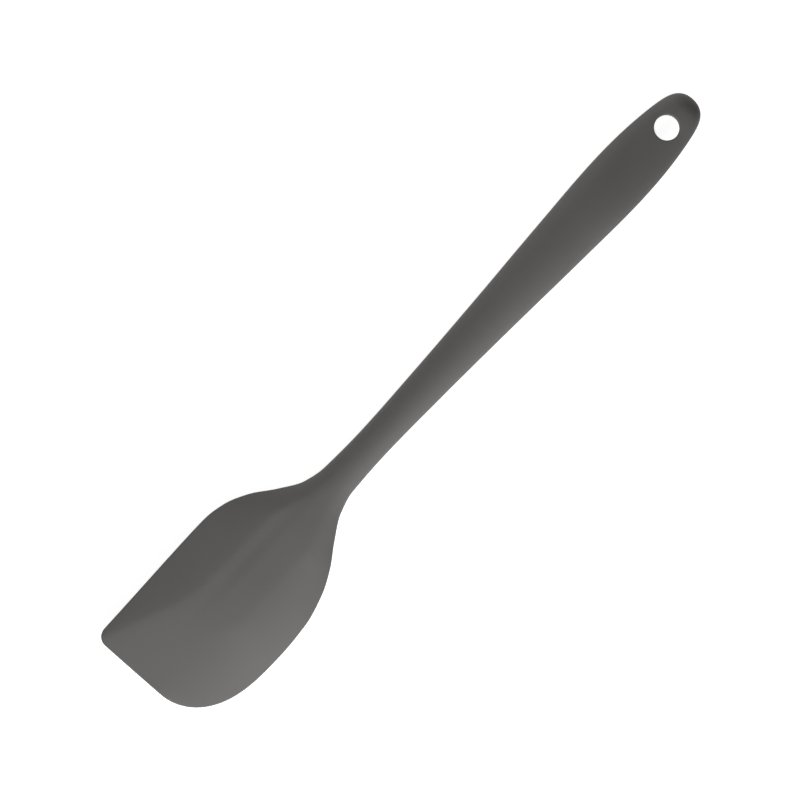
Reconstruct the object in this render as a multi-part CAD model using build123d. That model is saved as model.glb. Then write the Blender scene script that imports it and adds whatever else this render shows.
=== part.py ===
"""Silicone spatula: one seamless silicone moulding over a stamped steel core.

Millimetres and degrees. The part is drawn along X from the centre of its hang hole: the handle's end
is at +X, the blade's tip at -X and the straight side of the blade at +Y, with the mould's parting
plane at Z = 0. It is then laid down on its lower face, as it rests on a table, with the origin at the
middle of its footprint. "Along" is the distance from the handle's end towards the tip.
"""
from build123d import *
from math import atan2, cos, degrees, pi, radians, sin, sqrt, tan
import os

# Lengths of the stretches, from the handle's end to the tip
end_to_hole = 13.65
end_to_widest = 39.2
widest_to_neck = 126.0
neck_to_straight_side = 63.4
neck_to_curved_side = 75.6
straight_side_length = 51.4

# Reaches, from the part's axis out to its outline
grip_reach = 10.95
neck_reach = 6.0
straight_side_reach = 25.15
straight_side_taper = 0.65
curved_side_reach = 27.2
tip_edge_reach = 5.6
straight_corner_radius = 4.4
tip_slant = 1.7

# Thicknesses
end_crest_thickness = 10.2
eye_thickness = 9.2
grip_thickness = 13.0
neck_thickness = 9.0
crown_thickness = 8.8
edge_thickness = 1.3
parting_land = 0.3

# Places of the thickness changes
end_rounding = 6.0
end_to_crest = 6.6
end_to_thickest = 58.0
neck_to_blade = 8.0
neck_to_root = 46.0

# Lines where the blade's level crown turns down to its edges: a crest and, on the curved side, a crease
crest_reach = 7.6
crest_tip_margin = 1.1
crest_turn_to_tip = 30.0
crest_turn_softness = 6.0
crease_reach = 9.0
crease_tip_reach = 2.0
crease_start_to_tip = 40.0
crease_end_to_tip = 22.0
line_softness = 3.0

# Hang hole
hang_hole_diameter = 9.0
hang_hole_rim_radius = 0.6
bore_seam_turn = 90

# Stamped steel core
core_thickness = 1.5
core_hole_margin = 4.5
core_grip_cover = 5.6
core_neck_cover = 2.9
core_tongue_reach = 6.5
core_tongue_shoulder = 34.0
core_tip_margin = 38.0
core_corner_radius = 2.5
core_tongue_radius = 5.5
core_neck_radius = 60.0
keying_hole_diameter = 4.0
keying_hole_pitch = 32.0

# Form of the outline between its named sizes, as shares of the run and of the change in reach
taper_shares = ((0.23, 0.22), (0.5, 0.565), (0.77, 0.85))
straight_shoulder_shares = (
    (0.27, 0.03), (0.4, 0.125), (0.53, 0.385), (0.67, 0.725), (0.8, 0.92), (0.92, 0.993),
)
curved_shoulder_shares = (
    (0.22, 0.025), (0.33, 0.125), (0.445, 0.36), (0.555, 0.625), (0.67, 0.82), (0.83, 0.963),
)

# Powers of the ovals that close the outline and the thickness, inner and outer
handle_end_powers = (2.06, 3.17)
curved_corner_powers = (3.05, 2.0)
round_powers = (2.0, 2.0)
oval_power = 0.5

# Slope at the line, as a share of the whole drop to the edge, and how far out a line lies at most
bevel_share = 0.8
crease_share = 0.6
line_limit_share = 0.45

# Rows of points along each stretch, points across, and how closely the faces follow them
end_rows = 8
handle_rows = 12
shoulder_rows = 14
blade_rows = 10
first_row_share = 0.1
points_across = 20
face_tolerance = 0.1

# Places along the part that the sizes above give
neck_along = end_to_widest + widest_to_neck
straight_side_along = neck_along + neck_to_straight_side
curved_side_along = neck_along + neck_to_curved_side
tip_along = straight_side_along + straight_side_length
root_along = neck_along + neck_to_root
crest_turn_along = tip_along - crest_turn_to_tip
crease_start_along = tip_along - crease_start_to_tip
crease_end_along = tip_along - crease_end_to_tip

# Reaches at the tip that the sizes above give
straight_corner_reach = straight_side_reach - straight_side_taper
crest_tip_reach = straight_corner_reach - crest_tip_margin


def smooth_guide(points):
    """A smooth curve through (place, value) points that never swings past one, level at both ends."""
    places = [place for place, value in points]
    values = [value for place, value in points]
    runs = [after - before for before, after in zip(places, places[1:])]
    climbs = [(after - before) / run for before, after, run in zip(values, values[1:], runs)]
    slopes = [0.0]
    for before, after in zip(climbs, climbs[1:]):
        slopes.append(2 * before * after / (before + after) if before * after > 0 else 0.0)
    slopes.append(0.0)

    def value_at(place):
        if place <= places[0]:
            return values[0]
        if place >= places[-1]:
            return values[-1]
        k = max(i for i, start in enumerate(places[:-1]) if start <= place)
        t = (place - places[k]) / runs[k]
        change = (values[k + 1] - values[k]) * t * t * (3 - 2 * t)
        leaving = t * (1 - t) ** 2 * slopes[k] * runs[k]
        arriving = t * t * (t - 1) * slopes[k + 1] * runs[k]
        return values[k] + change + leaving + arriving

    return value_at


def between(start, end, shares):
    """Points on the way from start to end, each a share of the run and a share of the change."""
    return [(start[0] + (end[0] - start[0]) * a, start[1] + (end[1] - start[1]) * b) for a, b in shares]


def closing(share, powers):
    """Rises from 0 at the very end to 1 where the rounding of that end starts, along an oval."""
    inner, outer = powers
    left = min(max(1 - share, 0.0), 1.0)
    return (1 - left**inner) ** (1 / outer)


def past_line(distance, softness):
    """How far past a soft line a point lies, starting gently over the line's softness."""
    return (distance + sqrt(distance**2 + softness**2)) / 2


# The outline on each side of the axis
widest = (end_to_widest, grip_reach)
neck = (neck_along, neck_reach)
straight_start = (straight_side_along, straight_side_reach)
straight_end = (tip_along, straight_corner_reach)
curved_widest = (curved_side_along, curved_side_reach)
handle_points = [widest, *between(widest, neck, taper_shares), neck]
straight_shoulder = between(neck, straight_start, straight_shoulder_shares)
curved_shoulder = between(neck, curved_widest, curved_shoulder_shares)
straight_guide = smooth_guide([*handle_points, *straight_shoulder, straight_start, straight_end])
curved_guide = smooth_guide([*handle_points, *curved_shoulder, curved_widest])


def straight_reach(along):
    """Reach on the side that is straight along the blade, with a small round corner at the tip."""
    reach = straight_guide(along) * closing(along / end_to_widest, handle_end_powers)
    corner_share = (tip_along - along) / straight_corner_radius
    return reach - straight_corner_radius * (1 - closing(corner_share, round_powers))


def curved_reach(along):
    """Reach on the side that sweeps round into the tip in one long curve."""
    reach = curved_guide(along) * closing(along / end_to_widest, handle_end_powers)
    corner_share = (tip_along - along) / (tip_along - curved_side_along)
    return reach - (curved_side_reach - tip_edge_reach) * (1 - closing(corner_share, curved_corner_powers))


# Half thicknesses of the edge and of the oval spine over it, and how far the blade's form has taken over
edge_guide = smooth_guide([(neck_along, parting_land / 2), (root_along, edge_thickness / 2)])
spine_guide = smooth_guide([
    (end_to_crest, (end_crest_thickness - parting_land) / 2),
    (end_to_hole, (eye_thickness - parting_land) / 2),
    (end_to_thickest, (grip_thickness - parting_land) / 2),
    (neck_along, (neck_thickness - parting_land) / 2),
    (root_along, (crown_thickness - edge_thickness) / 2),
])
blade_guide = smooth_guide([(neck_along + neck_to_blade, 0.0), (root_along, 1.0)])
crease_guide = smooth_guide([(crease_start_along, crease_reach), (crease_end_along, crease_tip_reach)])
crease_share_guide = smooth_guide([(crease_start_along, crease_share), (crease_end_along, 0.0)])
lean_guide = smooth_guide([(straight_side_along, 0.0), (tip_along, tan(radians(tip_slant)))])


def crest_at(along):
    """Reach of the crest, which runs beside the axis and then turns out to the corner at the tip."""
    turned = past_line(along - crest_turn_along, crest_turn_softness)
    share = turned / past_line(crest_turn_to_tip, crest_turn_softness)
    return crest_reach + (crest_tip_reach - crest_reach) * share


def blade_height(along, y):
    """Height of the blade over its edge: a crown, level from line to line, that slopes to both sides."""
    crest = crest_at(along)
    lowering = (straight_side_reach - crest) / (straight_side_reach - crest_reach)
    crown = (crown_thickness - edge_thickness) / 2 * lowering
    if y >= 0:
        reach, line, share = straight_reach(along), crest, bevel_share
    else:
        reach, line, share = curved_reach(along), crease_guide(along), crease_share_guide(along)
    line = min(line, reach * line_limit_share)
    past = past_line(abs(y) - line, line_softness) / past_line(reach - line, line_softness)
    return crown * (1 - share * past - (1 - share) * past**2)


def height(along, y):
    """Height of the upper face over the parting plane."""
    reach = straight_reach(along) if y >= 0 else curved_reach(along)
    spine = spine_guide(along) * closing(along / end_rounding, round_powers)
    oval = spine * (1 - min(abs(y) / reach, 1.0) ** 2) ** oval_power
    blade = blade_guide(along)
    return edge_guide(along) + oval * (1 - blade) + blade_height(along, y) * blade


def row_across(along):
    """Points over the part from its straight side to its curved side, on the upper face."""
    straight, curved = straight_reach(along), curved_reach(along)
    points = []
    for k in range(points_across + 1):
        y = (straight - curved) / 2 + (straight + curved) / 2 * cos(pi * k / points_across)
        points.append((end_to_hole - along - lean_guide(along) * y, y, height(along, y)))
    return points


def rows_along():
    """Places along the part for the rows, closer together where the outline closes."""
    turns = [pi / 2 * (k + first_row_share) / end_rows for k in range(end_rows)]
    places = [end_to_widest * (1 - cos(turn)) for turn in turns]
    places += [end_to_widest + widest_to_neck * k / handle_rows for k in range(handle_rows)]
    places += [neck_along + neck_to_straight_side * k / shoulder_rows for k in range(shoulder_rows)]
    shares = [sin(pi / 2 * k / blade_rows) for k in range(blade_rows + 1)]
    return places + [straight_side_along + straight_side_length * share for share in shares]


def make_moulding():
    """The outer form: an upper and a lower face joined by the edge's wall, with the hang hole."""
    rows = [row_across(along) for along in rows_along()]
    upper = Face.make_surface_from_array_of_points(rows, tol=face_tolerance, min_deg=3, max_deg=3)
    walls = [Face.make_surface_from_curves(edge, edge.mirror(Plane.XY)) for edge in upper.edges()]
    form = Solid(Shell([upper, upper.mirror(Plane.XY), *walls]))
    form -= Rotation(0, 0, bore_seam_turn) * Cylinder(hang_hole_diameter / 2, grip_thickness * 2)
    bore = form.faces().filter_by(GeomType.CYLINDER)[0]
    return fillet(bore.edges().filter_by(GeomType.LINE, reverse=True), hang_hole_rim_radius)


def make_core():
    """The stamped strip: a tapering bar from the hang hole to the neck, then a wider tongue."""
    eye_x = -hang_hole_diameter / 2 - core_hole_margin
    neck_x = end_to_hole - neck_along
    shoulder_x = neck_x - core_tongue_shoulder
    end_x = end_to_hole - tip_along + core_tip_margin
    outline = (
        (eye_x, grip_reach - core_grip_cover, core_corner_radius),
        (neck_x, neck_reach - core_neck_cover, core_neck_radius),
        (shoulder_x, core_tongue_reach, core_tongue_radius),
        (end_x, core_tongue_reach, core_tongue_radius),
    )
    both_sides = outline + tuple((x, -y, radius) for x, y, radius in reversed(outline))
    corners = [(x, y) for x, y, radius in both_sides]
    radii = [radius for x, y, radius in both_sides]
    strip = make_face(FilletPolyline(*corners, radius=radii, close=True))
    core = extrude(strip, core_thickness / 2, both=True)
    holes = int((eye_x - end_x) / keying_hole_pitch)
    middle = Pos((eye_x + end_x) / 2, 0, 0)
    keying_hole = Cylinder(keying_hole_diameter / 2, grip_thickness)
    return core - [middle * place * keying_hole for place in GridLocations(keying_hole_pitch, 0, holes, 1)]


def laid_down(moulding):
    """The move that lays the part on its lower face with the origin under its middle."""
    drop = (grip_thickness - crown_thickness) / 2
    tilt = Rotation(0, -degrees(atan2(drop, crest_turn_along - end_to_thickest)), 0)
    box = (tilt * moulding).bounding_box()
    return Pos(-box.center().X, -box.center().Y, -box.min.Z) * tilt


def main():
    os.makedirs("parts", exist_ok=True)
    moulding = make_moulding()
    core = make_core()
    place = laid_down(moulding)
    parts = {"silicone_body": place * (moulding - core), "steel_core": place * core}
    for name, part in parts.items():
        part.label = name
        export_step(part, f"parts/{name}.step")
    return parts, place


if __name__ == "__main__":
    main()
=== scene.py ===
import math

import bpy
import numpy as np
from mathutils import Matrix, Vector


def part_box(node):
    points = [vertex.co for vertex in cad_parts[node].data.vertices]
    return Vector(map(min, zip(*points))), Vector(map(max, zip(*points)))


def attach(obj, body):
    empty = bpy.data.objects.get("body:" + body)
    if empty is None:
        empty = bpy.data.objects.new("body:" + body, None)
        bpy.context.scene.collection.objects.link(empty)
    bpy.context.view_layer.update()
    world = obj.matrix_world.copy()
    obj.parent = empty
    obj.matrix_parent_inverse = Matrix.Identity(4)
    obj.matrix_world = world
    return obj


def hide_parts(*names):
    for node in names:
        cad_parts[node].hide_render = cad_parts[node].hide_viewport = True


# A silicone spatula lying on a white table, seen from straight above.
# The moulded skin is drawn in millimetres along X from the middle of its hang hole, as the solid is,
# with the handle's end at +X, the blade's straight side at +Y and the mould's parting plane at Z = 0.
# It is then laid on the table in metres. "Along" is the distance from the handle's end to the tip.
# The steel core sealed inside it keeps the solid's own shape.

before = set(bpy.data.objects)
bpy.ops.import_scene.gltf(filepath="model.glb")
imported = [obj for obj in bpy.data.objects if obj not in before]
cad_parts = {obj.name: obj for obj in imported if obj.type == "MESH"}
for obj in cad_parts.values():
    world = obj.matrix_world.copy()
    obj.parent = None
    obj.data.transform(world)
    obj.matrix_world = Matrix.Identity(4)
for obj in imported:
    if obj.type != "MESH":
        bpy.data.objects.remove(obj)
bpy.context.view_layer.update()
MM = 0.001

# Lengths of the stretches, from the handle's end to the tip
END_TO_HOLE = 13.65
END_TO_WIDEST = 39.2
WIDEST_TO_NECK = 126.0
NECK_TO_STRAIGHT_SIDE = 63.4
NECK_TO_CURVED_SIDE = 75.6
STRAIGHT_SIDE_LENGTH = 51.4

# Reaches, from the part's axis out to its outline
HANDLE_END_REACH = 6.48
GRIP_REACH = 10.95
NECK_REACH = 6.0
STRAIGHT_SIDE_REACH = 25.15
CURVED_SIDE_REACH = 27.2
TIP_EDGE_REACH = 5.6

# Ends of the outline: the run of the handle's round end, and the taper, corner and slant at the tip
HANDLE_END_RUN = 20.0
STRAIGHT_SIDE_TAPER = 0.65
STRAIGHT_CORNER_RADIUS = 4.4
TIP_SLANT_DEGREES = 1.7

# Thicknesses, measured over the upper and the lower face
END_CREST_THICKNESS = 10.2
EYE_THICKNESS = 9.2
GRIP_THICKNESS = 13.0
NECK_THICKNESS = 9.0
CROWN_THICKNESS = 8.8
EDGE_THICKNESS = 1.3
PARTING_LAND = 0.3

# Where the thickness changes, and where the blade rests on the table
END_TO_CREST = 6.6
END_TO_THICKEST = 58.0
NECK_TO_BLADE = 8.0
NECK_TO_ROOT = 46.0
REST_TO_TIP = 30.0

# Roundings of the handle's end, of the blade's edge and of the hang hole's rim
END_ROUNDING = 6.0
EDGE_ROUNDING = 0.35
HOLE_RIM_ROUNDING = 0.4

# Lines where the blade's level crown turns down to its edges: a crest and, on the curved side, a crease.
# Neither starts further out than the limit's share of the reach.
CREST_REACH = 8.8
CREST_TIP_MARGIN = 1.1
CREST_TURN_TO_TIP = 34.0
CREST_TURN_SOFTNESS = 6.0
CREASE_REACH = 9.0
CREASE_TIP_REACH = 2.0
CREASE_START_TO_TIP = 40.0
CREASE_END_TO_TIP = 22.0
LINE_SOFTNESS = 1.6
LINE_LIMIT_SHARE = 0.45

# Share of each side's slope that runs straight down, the rest of it being curved
BEVEL_SHARE = 0.8
CREASE_SHARE = 0.5

# Low tongue along the blade's axis, with a shallow hollow between it and the crest
TONGUE_RISE = 0.2
TONGUE_REACH = 6.0
TONGUE_FADE = 26.0
HOLLOW_DEPTH = 0.25

# Hang hole, and the patch round it where rings take the grid's place
HANG_HOLE_RADIUS = 4.5
HOLE_PATCH_REACH = 6.7
HOLE_PATCH_SHARE = 0.74

# Form of the outline between its named sizes, as shares of the run and of the change in reach
TAPER_SHARES = ((0.23, 0.22), (0.5, 0.565), (0.77, 0.85))
STRAIGHT_SHOULDER_SHARES = (
    (0.27, 0.03), (0.4, 0.125), (0.53, 0.385), (0.67, 0.725), (0.8, 0.92), (0.92, 0.993),
)
CURVED_SHOULDER_SHARES = (
    (0.22, 0.025), (0.33, 0.125), (0.445, 0.36), (0.555, 0.625), (0.67, 0.82), (0.83, 0.963),
)

# Powers of the ovals that close the outline and the thickness, inner and outer, and of the handle's section
HANDLE_END_POWERS = (7.9, 2.18)
HANDLE_SWELL_POWERS = (2.23, 1.0)
CURVED_CORNER_POWERS = (3.05, 2.0)
ROUND_POWERS = (2.0, 2.0)
OVAL_POWER = 0.5

# Rows and columns of the mesh
END_ROWS = 84
HANDLE_ROWS = 130
SHOULDER_ROWS = 110
BLADE_ROWS = 120
FIRST_ROW_SHARE = 0.35
COLUMNS = 96
HOLE_RINGS = 18
WALL_BANDS = 2

# Silicone: two greys at their places in the clouding, then the clouding and the grain.
# Their scales are per metre, and the grain's depth is in metres.
SILICONE_SHADES = ((0.3, (0.0943, 0.0905, 0.0871, 1)), (0.7, (0.0994, 0.0965, 0.0921, 1)))
SILICONE_ROUGHNESS = 0.6
SILICONE_SPECULAR = 0.3
CLOUD_SCALE = 38.0
CLOUD_DETAIL = 2.0
GRAIN_SCALE = 2600.0
GRAIN_DETAIL = 3.0
GRAIN_STRENGTH = 0.12
GRAIN_DEPTH = 0.00008

# Brushed steel, with the brush's scale along and across the strip
STEEL_COLOUR = (0.55, 0.55, 0.56, 1)
STEEL_ROUGHNESS = (0.28, 0.42)
BRUSH_SCALES = (40.0, 4000.0, 4000.0)
BRUSH_DETAIL = 3.0

# White table, in metres, and the surround's level at the horizon, overhead and as it is seen
WHITE = (1, 1, 1, 1)
TABLE_SIZE = 6.0
TABLE_COLOUR = (0.8, 0.8, 0.79, 1)
TABLE_ROUGHNESS = 0.9
TABLE_SPECULAR = 0.1
TABLE_GLOW = 0.8
HORIZON_LEVEL = 0.0
OVERHEAD_LEVEL = 0.13
SEEN_LEVEL = 1.0

# The picture in metres: its middle on the part, its width, and its own up and right on the table
PICTURE_CENTRE = Vector((-0.00676, 0.00433, 0.006))
PICTURE_WIDTH = 0.28025
PICTURE_UP = Vector((0.7314, 0.6819, 0.0))
PICTURE_RIGHT = Vector((PICTURE_UP.y, -PICTURE_UP.x, 0.0))
CAMERA_HEIGHT = 3.0
SENSOR_WIDTH = 36.0

# Square lights: the place from the picture's middle, the side in metres and the power in watts
KEY_LIGHT = (Vector((-0.34, -0.36, 0.22)), 0.26, 4.4)
FILL_LIGHT = (Vector((0.24, 0.6, 0.26)), 0.5, 2.5)

# Places along the part, and what else follows from the sizes above
NECK_ALONG = END_TO_WIDEST + WIDEST_TO_NECK
ROOT_ALONG = NECK_ALONG + NECK_TO_ROOT
STRAIGHT_SIDE_ALONG = NECK_ALONG + NECK_TO_STRAIGHT_SIDE
CURVED_SIDE_ALONG = NECK_ALONG + NECK_TO_CURVED_SIDE
TIP_ALONG = STRAIGHT_SIDE_ALONG + STRAIGHT_SIDE_LENGTH
CREASE_START_ALONG = TIP_ALONG - CREASE_START_TO_TIP
CREASE_END_ALONG = TIP_ALONG - CREASE_END_TO_TIP
STRAIGHT_CORNER_REACH = STRAIGHT_SIDE_REACH - STRAIGHT_SIDE_TAPER
CREST_TIP_REACH = STRAIGHT_CORNER_REACH - CREST_TIP_MARGIN
CROWN_RISE = (CROWN_THICKNESS - EDGE_THICKNESS) / 2


def limited(share):
    """A share, kept from 0 to 1."""
    return np.clip(share, 0.0, 1.0)


def eased(share):
    """A share that starts and ends its change gently."""
    return share * share * (3 - 2 * share)


def smooth_guide(points):
    """A smooth curve through (place, value) points that never swings past one, level at both ends."""
    places, values = (np.array(column, float) for column in zip(*points))
    climbs = np.diff(values) / np.diff(places)
    pairs = climbs[:-1] * climbs[1:]
    sums = np.where(pairs > 0, climbs[:-1] + climbs[1:], 1.0)
    slopes = np.concatenate([[0.0], np.where(pairs > 0, 2 * pairs / sums, 0.0), [0.0]])

    def value_at(place):
        k = np.clip(np.searchsorted(places, place, side="right") - 1, 0, len(places) - 2)
        run = places[k + 1] - places[k]
        t = limited((place - places[k]) / run)
        change = (values[k + 1] - values[k]) * eased(t)
        leaving = t * (1 - t) ** 2 * slopes[k] * run
        arriving = t * t * (t - 1) * slopes[k + 1] * run
        return values[k] + change + leaving + arriving

    return value_at


def between(start, end, shares):
    """Points on the way from start to end, each a share of the run and a share of the change."""
    return [(start[0] + (end[0] - start[0]) * a, start[1] + (end[1] - start[1]) * b) for a, b in shares]


def closing(share, powers):
    """Rises from 0 at the very end to 1 where the rounding of that end starts, along an oval."""
    inner, outer = powers
    return (1 - limited(1 - share) ** inner) ** (1 / outer)


def past_line(distance, softness):
    """How far past a soft line a point lies, starting gently over the line's softness."""
    return (distance + np.sqrt(distance**2 + softness**2)) / 2


# Curves of the outline: the handle is alike on both sides, and the blade's sides differ
widest = (END_TO_WIDEST, GRIP_REACH)
neck = (NECK_ALONG, NECK_REACH)
straight_start = (STRAIGHT_SIDE_ALONG, STRAIGHT_SIDE_REACH)
straight_end = (TIP_ALONG, STRAIGHT_CORNER_REACH)
curved_widest = (CURVED_SIDE_ALONG, CURVED_SIDE_REACH)
handle_points = [widest, *between(widest, neck, TAPER_SHARES), neck]
straight_shoulder = between(neck, straight_start, STRAIGHT_SHOULDER_SHARES)
curved_shoulder = between(neck, curved_widest, CURVED_SHOULDER_SHARES)
straight_guide = smooth_guide([*handle_points, *straight_shoulder, straight_start, straight_end])
curved_guide = smooth_guide([*handle_points, *curved_shoulder, curved_widest])


def handle_end(along):
    """Share of the grip's reach that the handle has from its round end to its widest place, then 1."""
    swell = closing(along / END_TO_WIDEST, HANDLE_SWELL_POWERS)
    share = (HANDLE_END_REACH + (GRIP_REACH - HANDLE_END_REACH) * swell) / GRIP_REACH
    return share * closing(along / HANDLE_END_RUN, HANDLE_END_POWERS)


def straight_reach(along):
    """Reach on the side that is straight along the blade, with a small round corner at the tip."""
    reach = straight_guide(along) * handle_end(along)
    corner_share = (TIP_ALONG - along) / STRAIGHT_CORNER_RADIUS
    return reach - STRAIGHT_CORNER_RADIUS * (1 - closing(corner_share, ROUND_POWERS))


def curved_reach(along):
    """Reach on the side that sweeps round into the tip in one long curve."""
    reach = curved_guide(along) * handle_end(along)
    corner_share = (TIP_ALONG - along) / (TIP_ALONG - CURVED_SIDE_ALONG)
    return reach - (CURVED_SIDE_REACH - TIP_EDGE_REACH) * (1 - closing(corner_share, CURVED_CORNER_POWERS))


def over_land(thickness):
    """How far one face of that thickness rises over the edge of the parting land."""
    return (thickness - PARTING_LAND) / 2


# Curves along the part of its heights, of the blade's lines and of the tip edge's slant
edge_guide = smooth_guide([(NECK_ALONG, PARTING_LAND / 2), (ROOT_ALONG, EDGE_THICKNESS / 2)])
spine_guide = smooth_guide([
    (END_TO_CREST, over_land(END_CREST_THICKNESS)),
    (END_TO_HOLE, over_land(EYE_THICKNESS)),
    (END_TO_THICKEST, over_land(GRIP_THICKNESS)),
    (NECK_ALONG, over_land(NECK_THICKNESS)),
    (ROOT_ALONG, CROWN_RISE),
])
blade_guide = smooth_guide([(NECK_ALONG + NECK_TO_BLADE, 0.0), (ROOT_ALONG, 1.0)])
tongue_fade_guide = smooth_guide([(STRAIGHT_SIDE_ALONG, 1.0), (STRAIGHT_SIDE_ALONG + TONGUE_FADE, 0.0)])
crease_guide = smooth_guide([(CREASE_START_ALONG, CREASE_REACH), (CREASE_END_ALONG, CREASE_TIP_REACH)])
crease_share_guide = smooth_guide([(CREASE_START_ALONG, CREASE_SHARE), (CREASE_END_ALONG, 0.0)])
tip_lean = math.tan(math.radians(TIP_SLANT_DEGREES))
lean_guide = smooth_guide([(STRAIGHT_SIDE_ALONG, 0.0), (TIP_ALONG, tip_lean)])


def crest_turn(along):
    """How far the crest, which runs beside the axis, has turned out towards the corner at the tip."""
    turned = past_line(along - TIP_ALONG + CREST_TURN_TO_TIP, CREST_TURN_SOFTNESS)
    share = turned / past_line(CREST_TURN_TO_TIP, CREST_TURN_SOFTNESS)
    return (CREST_TIP_REACH - CREST_REACH) * share


def blade_height(along, y, reach):
    """Height of the blade over its edge: a crown between two lines, with a slope down from each."""
    straight = y >= 0
    out = np.abs(y)
    # The crown sinks towards the tip as its crest turns out, so the bevel beside it stays as steep
    turn = crest_turn(along)
    crown = CROWN_RISE * (1 - turn / (STRAIGHT_SIDE_REACH - CREST_REACH))
    line = np.minimum(np.where(straight, CREST_REACH, crease_guide(along)), reach * LINE_LIMIT_SHARE)
    line = np.where(straight, line + turn, line)
    share = np.where(straight, BEVEL_SHARE, crease_share_guide(along))
    start = past_line(-line, LINE_SOFTNESS)
    whole = past_line(reach - line, LINE_SOFTNESS) - start
    past = (past_line(out - line, LINE_SOFTNESS) - start) / whole
    slope = 1 - share * past - (1 - share) * past**2
    flank = eased(limited(1 - out / TONGUE_REACH))
    fade = tongue_fade_guide(along)
    tongue, hollow = TONGUE_RISE * fade, HOLLOW_DEPTH * fade
    beside_crest = crown * slope - hollow * limited(1 - out / line) + (tongue + hollow) * flank
    return np.where(straight, beside_crest, (crown + tongue) * slope)


def height(along, y):
    """Height of the upper face over the parting plane at places in the plan."""
    out = np.abs(y)
    reach = np.where(y >= 0, straight_reach(along), curved_reach(along))
    spine = spine_guide(along) * closing(along / END_ROUNDING, ROUND_POWERS)
    oval = spine * (1 - np.minimum(out / reach, 1.0) ** 2) ** OVAL_POWER
    blade = blade_guide(along)
    top = edge_guide(along) + oval * (1 - blade) + blade_height(along, y, reach) * blade
    rounding = np.minimum(EDGE_ROUNDING * blade, edge_guide(along))
    inward = np.minimum(reach - out, TIP_ALONG - along)
    top = top - rounding * (1 - closing(inward / EDGE_ROUNDING, ROUND_POWERS))
    to_hole = np.hypot(along - END_TO_HOLE, y) - HANG_HOLE_RADIUS
    return top - HOLE_RIM_ROUNDING * (1 - closing(to_hole / HOLE_RIM_ROUNDING, ROUND_POWERS))


def rows_along():
    """Places along the part for the rows, closer together where the outline closes."""
    turns = math.pi / 2 * (np.arange(END_ROWS) + FIRST_ROW_SHARE) / END_ROWS
    end = END_TO_WIDEST * (1 - np.cos(turns))
    handle = END_TO_WIDEST + WIDEST_TO_NECK * np.arange(HANDLE_ROWS) / HANDLE_ROWS
    shoulder = NECK_ALONG + NECK_TO_STRAIGHT_SIDE * np.arange(SHOULDER_ROWS) / SHOULDER_ROWS
    shares = np.sin(math.pi / 2 * np.arange(BLADE_ROWS + 1) / BLADE_ROWS)
    return np.concatenate([end, handle, shoulder, STRAIGHT_SIDE_ALONG + STRAIGHT_SIDE_LENGTH * shares])


# Places of the columns from the straight side at 1 to the curved side at -1, closer together at both
across = np.cos(math.pi * np.arange(COLUMNS + 1) / COLUMNS)


def hole_patch(places):
    """First and last row and column of the block of the grid that the rings round the hole replace."""
    rows = np.flatnonzero(np.abs(places - END_TO_HOLE) < HOLE_PATCH_REACH)
    columns = np.flatnonzero(np.abs(across) < HOLE_PATCH_SHARE)
    return rows[0], rows[-1], columns[0], columns[-1]


def border(block):
    """The numbers round the border of a block of the grid, in order and each of them once."""
    return np.concatenate([block[0, :-1], block[:-1, -1], block[-1, :0:-1], block[:0:-1, 0]])


def hole_rings(loop):
    """Rings of points from a loop round the hang hole in to its rim, closer together at the rim."""
    centre = np.array([END_TO_HOLE, 0.0])
    spokes = loop - centre
    circle = centre + spokes * HANG_HOLE_RADIUS / np.linalg.norm(spokes, axis=1, keepdims=True)
    inward = 1 - np.cos(math.pi / 2 * np.arange(HOLE_RINGS, 0, -1) / HOLE_RINGS)
    shares = (inward - inward[-1]) / (1 - inward[-1])
    return [circle + (loop - circle) * share for share in shares[1:]]


def upper_face():
    """Points and faces of the upper face, with the points of its outline and of the hang hole's rim."""
    places = rows_along()
    straight, curved = straight_reach(places)[:, None], curved_reach(places)[:, None]
    y = (straight - curved) / 2 + (straight + curved) / 2 * across[None, :]
    along = np.broadcast_to(places[:, None], y.shape)
    plan = np.stack([along.ravel(), y.ravel()], 1)
    number = np.arange(y.size).reshape(y.shape)

    top, bottom, left, right = hole_patch(places)
    loop = border(number[top:bottom + 1, left:right + 1])
    rings = hole_rings(plan[loop])
    ring_numbers = [loop] + [y.size + k * len(loop) + np.arange(len(loop)) for k in range(len(rings))]
    plan = np.concatenate([plan, *rings])
    z = height(plan[:, 0], plan[:, 1])
    x = END_TO_HOLE - plan[:, 0] - lean_guide(plan[:, 0]) * plan[:, 1]
    points = np.stack([x, plan[:, 1], z], 1)

    kept = np.ones((len(places) - 1, COLUMNS), bool)
    kept[top:bottom, left:right] = False
    corner = number[:-1, :-1][kept]
    next_row = corner + COLUMNS + 1
    faces = [np.stack([corner, next_row, next_row + 1, corner + 1], 1)]
    for outer, inner in zip(ring_numbers, ring_numbers[1:]):
        faces.append(np.stack([outer, inner, np.roll(inner, -1), np.roll(outer, -1)], 1))
    faces = np.concatenate(faces)

    used = np.zeros(len(points), bool)
    used[faces.ravel()] = True
    renumber = np.cumsum(used) - 1
    return points[used], renumber[faces], renumber[border(number)], renumber[ring_numbers[-1]]


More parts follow.
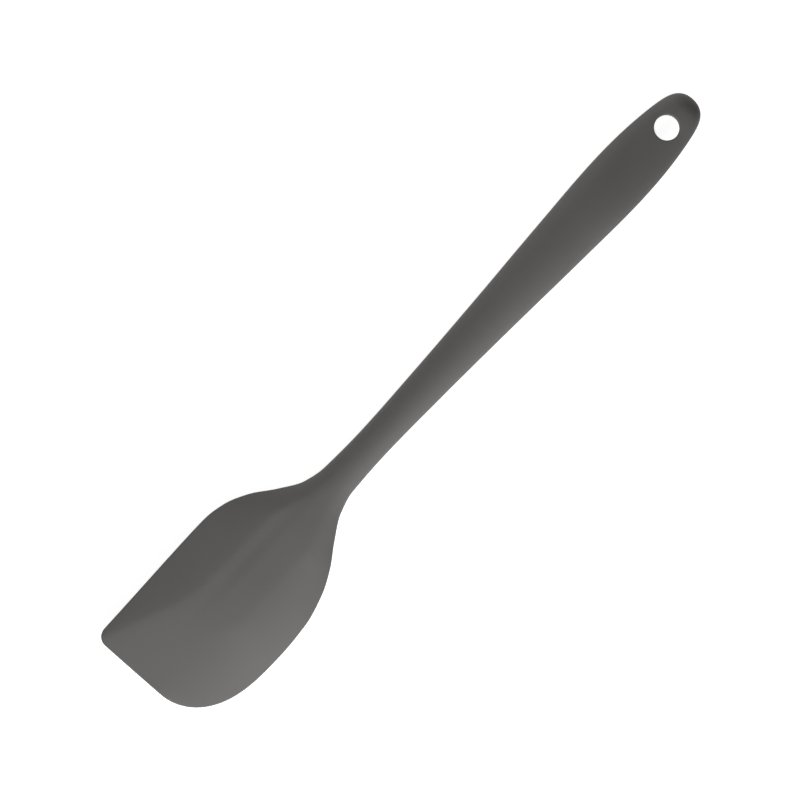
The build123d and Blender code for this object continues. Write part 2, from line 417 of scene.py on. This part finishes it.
def skin_mesh():
    """Points and faces of the whole skin: the upper face, its mirror image below and the walls between."""
    upper, upper_faces, outline, hole_rim = upper_face()
    total = 2 * len(upper)
    points = [upper, upper * (1, 1, -1)]
    faces = [upper_faces, upper_faces[:, ::-1] + len(upper)]
    for ring, winding in ((outline, 1), (hole_rim, -1)):
        levels = [ring]
        for band in range(1, WALL_BANDS):
            points.append(upper[ring] * (1, 1, 1 - 2 * band / WALL_BANDS))
            levels.append(total + np.arange(len(ring)))
            total += len(ring)
        levels.append(ring + len(upper))
        for above, below in zip(levels, levels[1:]):
            wall = np.stack([above, np.roll(above, -1), np.roll(below, -1), below], 1)
            faces.append(wall[:, ::winding])
    return np.concatenate(points), np.concatenate(faces)


def laid_down(points):
    """The drawn points, tilted on to the lower face and fitted to the frame's own box."""
    run = TIP_ALONG - REST_TO_TIP - END_TO_THICKEST
    drop = math.atan2((GRIP_THICKNESS - CROWN_THICKNESS) / 2, run)
    points = points @ np.array(Matrix.Rotation(-drop, 3, "Y")).T * MM
    low, high = (np.array(corner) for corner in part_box("silicone_body"))
    own_low, own_high = points.min(0), points.max(0)
    return low + (points - own_low) * (high - low) / (own_high - own_low)


def make_skin():
    """The moulded silicone skin, which stands for the plainer solid."""
    points, faces = skin_mesh()
    mesh = bpy.data.meshes.new("silicone_skin")
    mesh.from_pydata(laid_down(points).tolist(), [], faces.tolist())
    mesh.validate()
    mesh.shade_smooth()
    mesh.materials.append(silicone())
    skin = bpy.data.objects.new("silicone_skin", mesh)
    bpy.context.scene.collection.objects.link(skin)
    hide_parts("silicone_body")
    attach(skin, "root")


def dress_core():
    """The steel core, which keeps the solid's shape and takes the brushed steel."""
    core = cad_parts["steel_core"]
    core.data.materials.clear()
    core.data.materials.append(core_steel())


def material_with_shader(name, **values):
    """A material with its shader's sockets set to plain values, its node tree and that shader."""
    material = bpy.data.materials.new(name)
    material.use_nodes = True
    tree = material.node_tree
    shader = tree.nodes["Principled BSDF"]
    for socket, value in values.items():
        shader.inputs[socket.replace("_", " ")].default_value = value
    return material, tree, shader


def node(tree, kind, links=(), **settings):
    """A node of that kind with its settings and input values, linked to what feeds it."""
    made = tree.nodes.new(kind)
    for key, value in settings.items():
        if hasattr(made, key):
            setattr(made, key, value)
        else:
            made.inputs[key.replace("_", " ")].default_value = value
    for socket, source in links:
        tree.links.new(source, made.inputs[socket])
    return made


def noise(tree, place, scale, detail):
    """The value of a noise of that scale and detail at a place."""
    made = node(tree, "ShaderNodeTexNoise", [("Vector", place)], Scale=scale, Detail=detail)
    return made.outputs["Fac"]


def silicone():
    """Matt, slightly warm dark grey silicone with a fine moulded grain and very faint clouding."""
    material, tree, shader = material_with_shader(
        "silicone", Roughness=SILICONE_ROUGHNESS, Specular_IOR_Level=SILICONE_SPECULAR)
    place = node(tree, "ShaderNodeTexCoord").outputs["Object"]
    clouds = noise(tree, place, CLOUD_SCALE, CLOUD_DETAIL)
    shade = node(tree, "ShaderNodeValToRGB", [("Fac", clouds)])
    for element, (position, colour) in zip(shade.color_ramp.elements, SILICONE_SHADES):
        element.position = position
        element.color = colour
    tree.links.new(shade.outputs["Color"], shader.inputs["Base Color"])
    grain = noise(tree, place, GRAIN_SCALE, GRAIN_DETAIL)
    bump = node(tree, "ShaderNodeBump", [("Height", grain)], Strength=GRAIN_STRENGTH, Distance=GRAIN_DEPTH)
    tree.links.new(bump.outputs["Normal"], shader.inputs["Normal"])
    return material


def core_steel():
    """Brushed stainless steel with its brush lines along the strip."""
    material, tree, shader = material_with_shader("core_steel", Base_Color=STEEL_COLOUR, Metallic=1.0)
    smoothest, roughest = STEEL_ROUGHNESS
    place = node(tree, "ShaderNodeTexCoord").outputs["Object"]
    drawn_out = node(tree, "ShaderNodeMapping", [("Vector", place)], Scale=BRUSH_SCALES)
    brush = noise(tree, drawn_out.outputs["Vector"], 1.0, BRUSH_DETAIL)
    polish = node(tree, "ShaderNodeMapRange", [("Value", brush)], To_Min=smoothest, To_Max=roughest)
    tree.links.new(polish.outputs["Result"], shader.inputs["Roughness"])
    return material


def seen_level(tree, seen, links=()):
    """A level that camera, glossy and transmission rays meet as seen, and others as linked or as none."""
    path = node(tree, "ShaderNodeLightPath").outputs
    sight = path["Is Camera Ray"]
    for ray in ("Is Glossy Ray", "Is Transmission Ray"):
        either = node(tree, "ShaderNodeMath", [(0, sight), (1, path[ray])], operation="MAXIMUM")
        sight = either.outputs[0]
    level = node(tree, "ShaderNodeMapRange", [("Value", sight), *links], To_Min=0.0, To_Max=seen)
    return level.outputs["Result"]


def make_floor():
    """A plain white table, which glows a little to the camera and still takes the shadow."""
    half = TABLE_SIZE / 2
    corners = [(-half, -half, 0), (half, -half, 0), (half, half, 0), (-half, half, 0)]
    mesh = bpy.data.meshes.new("table_top")
    mesh.from_pydata(corners, [], [(0, 1, 2, 3)])
    floor = bpy.data.objects.new("table_top", mesh)
    bpy.context.scene.collection.objects.link(floor)
    material, tree, shader = material_with_shader(
        "table_white", Base_Color=TABLE_COLOUR, Roughness=TABLE_ROUGHNESS,
        Specular_IOR_Level=TABLE_SPECULAR, Emission_Color=WHITE)
    tree.links.new(seen_level(tree, TABLE_GLOW), shader.inputs["Emission Strength"])
    mesh.materials.append(material)


def make_world():
    """A dim surround, brightest overhead, that the camera sees as white."""
    world = bpy.data.worlds.new("surround")
    bpy.context.scene.world = world
    world.use_nodes = True
    tree = world.node_tree
    way = node(tree, "ShaderNodeTexCoord").outputs["Generated"]
    height_up = node(tree, "ShaderNodeSeparateXYZ", [("Vector", way)]).outputs["Z"]
    hidden = node(
        tree, "ShaderNodeMapRange", [("Value", height_up)], To_Min=HORIZON_LEVEL, To_Max=OVERHEAD_LEVEL)
    level = seen_level(tree, SEEN_LEVEL, [("To Min", hidden.outputs["Result"])])
    tree.links.new(level, tree.nodes["Background"].inputs["Strength"])
    tree.nodes["Background"].inputs["Color"].default_value = WHITE


def make_camera():
    """A long lens looking straight down, turned as the photograph is."""
    data = bpy.data.cameras.new("camera")
    data.sensor_width = SENSOR_WIDTH
    data.lens = SENSOR_WIDTH * CAMERA_HEIGHT / PICTURE_WIDTH
    camera = bpy.data.objects.new("camera", data)
    camera.location = PICTURE_CENTRE + Vector((0, 0, CAMERA_HEIGHT))
    turn = Matrix((PICTURE_RIGHT, PICTURE_UP, (0, 0, 1))).transposed()
    camera.rotation_euler = turn.to_euler()
    bpy.context.scene.collection.objects.link(camera)
    bpy.context.scene.camera = camera


def soft_light(name, offset, size, power):
    """A square soft light at an offset from the picture's middle, aimed at it."""
    data = bpy.data.lights.new(name, "AREA")
    data.shape = "SQUARE"
    data.size = size
    data.energy = power
    light = bpy.data.objects.new(name, data)
    light.location = PICTURE_CENTRE + offset
    light.rotation_euler = offset.to_track_quat("Z", "Y").to_euler()
    bpy.context.scene.collection.objects.link(light)


def make_lights():
    """A low key light beyond the tip on the curved side, and a larger, weaker fill across from it."""
    soft_light("key", *KEY_LIGHT)
    soft_light("fill", *FILL_LIGHT)


make_camera()
make_world()
make_floor()
make_lights()
make_skin()
dress_core()

bpy.context.scene.view_settings.view_transform = "Standard"
